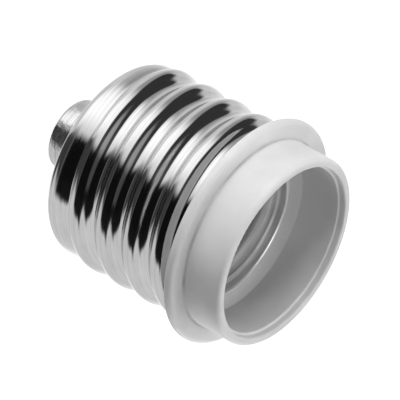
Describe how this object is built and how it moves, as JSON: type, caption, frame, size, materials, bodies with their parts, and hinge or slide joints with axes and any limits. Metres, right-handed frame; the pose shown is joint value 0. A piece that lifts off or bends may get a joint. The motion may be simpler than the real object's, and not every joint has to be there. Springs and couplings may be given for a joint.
{
  "type": "lamp socket adapter",
  "caption": "Lamp socket adapter: an E40 screw shell with a base contact and a white flanged collar, holding an E27 screw socket with a sprung centre contact.",
  "frame": {"origin": "centre of the base contact's end face, on which the adapter stands", "axes": "+Z along the screw axis, from the base contact to the mouth of the socket"},
  "size_m": [0.0442, 0.0442, 0.0508],
  "materials": {
    "white_plastic": "satin white PBT moulding",
    "bright_nickel": "bright nickel plating on rolled brass sheet",
    "dull_nickel": "dull nickel plating on rolled brass sheet",
    "contact_brass": "turned brass",
    "spring_steel": "drawn spring wire"
  },
  "bodies": {
    "adapter": {"insulator_body": "white_plastic", "outer_screw_shell": "bright_nickel", "inner_screw_shell": "dull_nickel", "shell_rivets": "dull_nickel", "base_contact_cap": "bright_nickel", "contact_spring": "spring_steel"},
    "centre_contact": {"contact_plunger": "contact_brass"}
  },
  "joints": [
    {"name": "contact_travel", "type": "slide", "parent": "adapter", "child": "centre_contact", "axis": [0, 0, -1], "range_m": [0, 0.002], "stiffness_N_per_m": 1000, "springref_m": -0.003, "deforming": ["contact_spring"]}
  ]
}
